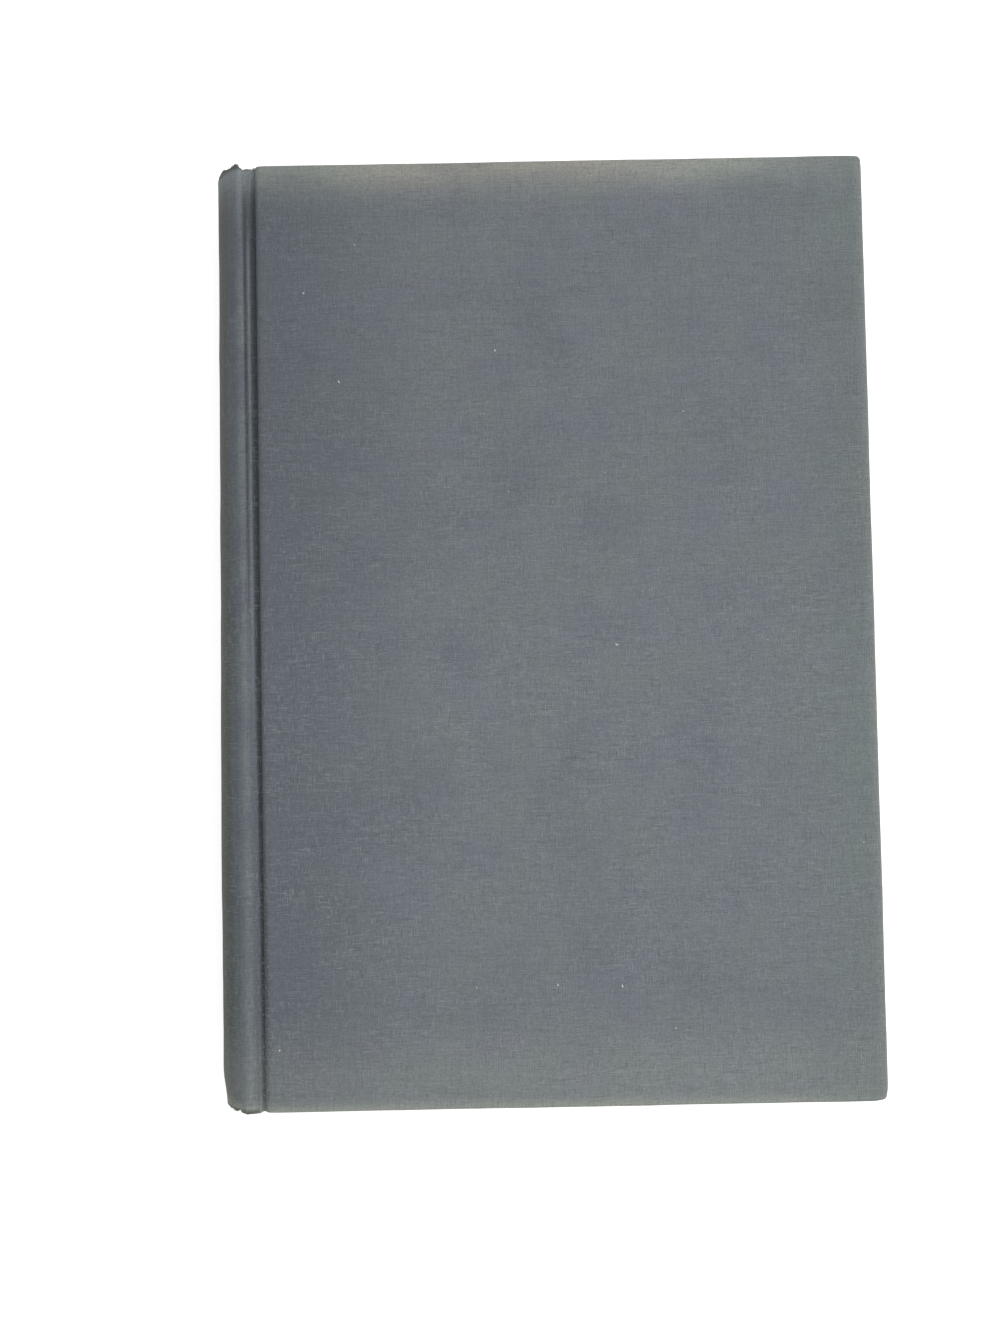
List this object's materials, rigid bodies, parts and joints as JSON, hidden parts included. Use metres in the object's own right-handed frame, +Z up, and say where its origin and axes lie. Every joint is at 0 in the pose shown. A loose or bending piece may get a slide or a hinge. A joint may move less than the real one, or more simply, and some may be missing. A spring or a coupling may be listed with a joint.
{
  "type": "hardback book",
  "caption": "Closed cloth-covered hardback book with a rounded spine, narrow joint grooves, boards that overhang a cream page block, endpapers, and two covers that open.",
  "frame": {"origin": "middle of the closed book's box, at its base, with the book lying on its back cover", "axes": "+X from the spine to the fore-edge, +Y from the tail to the head, +Z up through the front cover"},
  "size_m": [0.1642, 0.235, 0.029],
  "materials": {
    "bookcloth": "matte",
    "pages": "matte",
    "endpaper": "matte",
    "board": "matte",
    "mull": "matte",
    "lining": "matte",
    "inlay": "matte",
    "band": "matte"
  },
  "bodies": {
    "book_block": {"text_block": "pages", "front_flyleaf": "endpaper", "back_flyleaf": "endpaper", "spine_mull": "mull", "spine_lining": "lining", "head_band": "band", "tail_band": "band", "spine_inlay": "inlay", "spine_cloth": "bookcloth"},
    "front_cover": {"front_board": "board", "front_cloth": "bookcloth", "front_mull_flap": "mull", "front_pastedown": "endpaper"},
    "back_cover": {"back_board": "board", "back_cloth": "bookcloth", "back_mull_flap": "mull", "back_pastedown": "endpaper"}
  },
  "joints": [
    {"name": "front_cover_hinge", "type": "hinge", "parent": "book_block", "child": "front_cover", "pos_m": [-0.07053, 0, 0.02912], "axis": [0, -1, 0], "range_deg": [0, 185]},
    {"name": "back_cover_hinge", "type": "hinge", "parent": "book_block", "child": "back_cover", "pos_m": [-0.07053, 0, -0.0001], "axis": [0, 1, 0], "range_deg": [0, 185]}
  ]
}
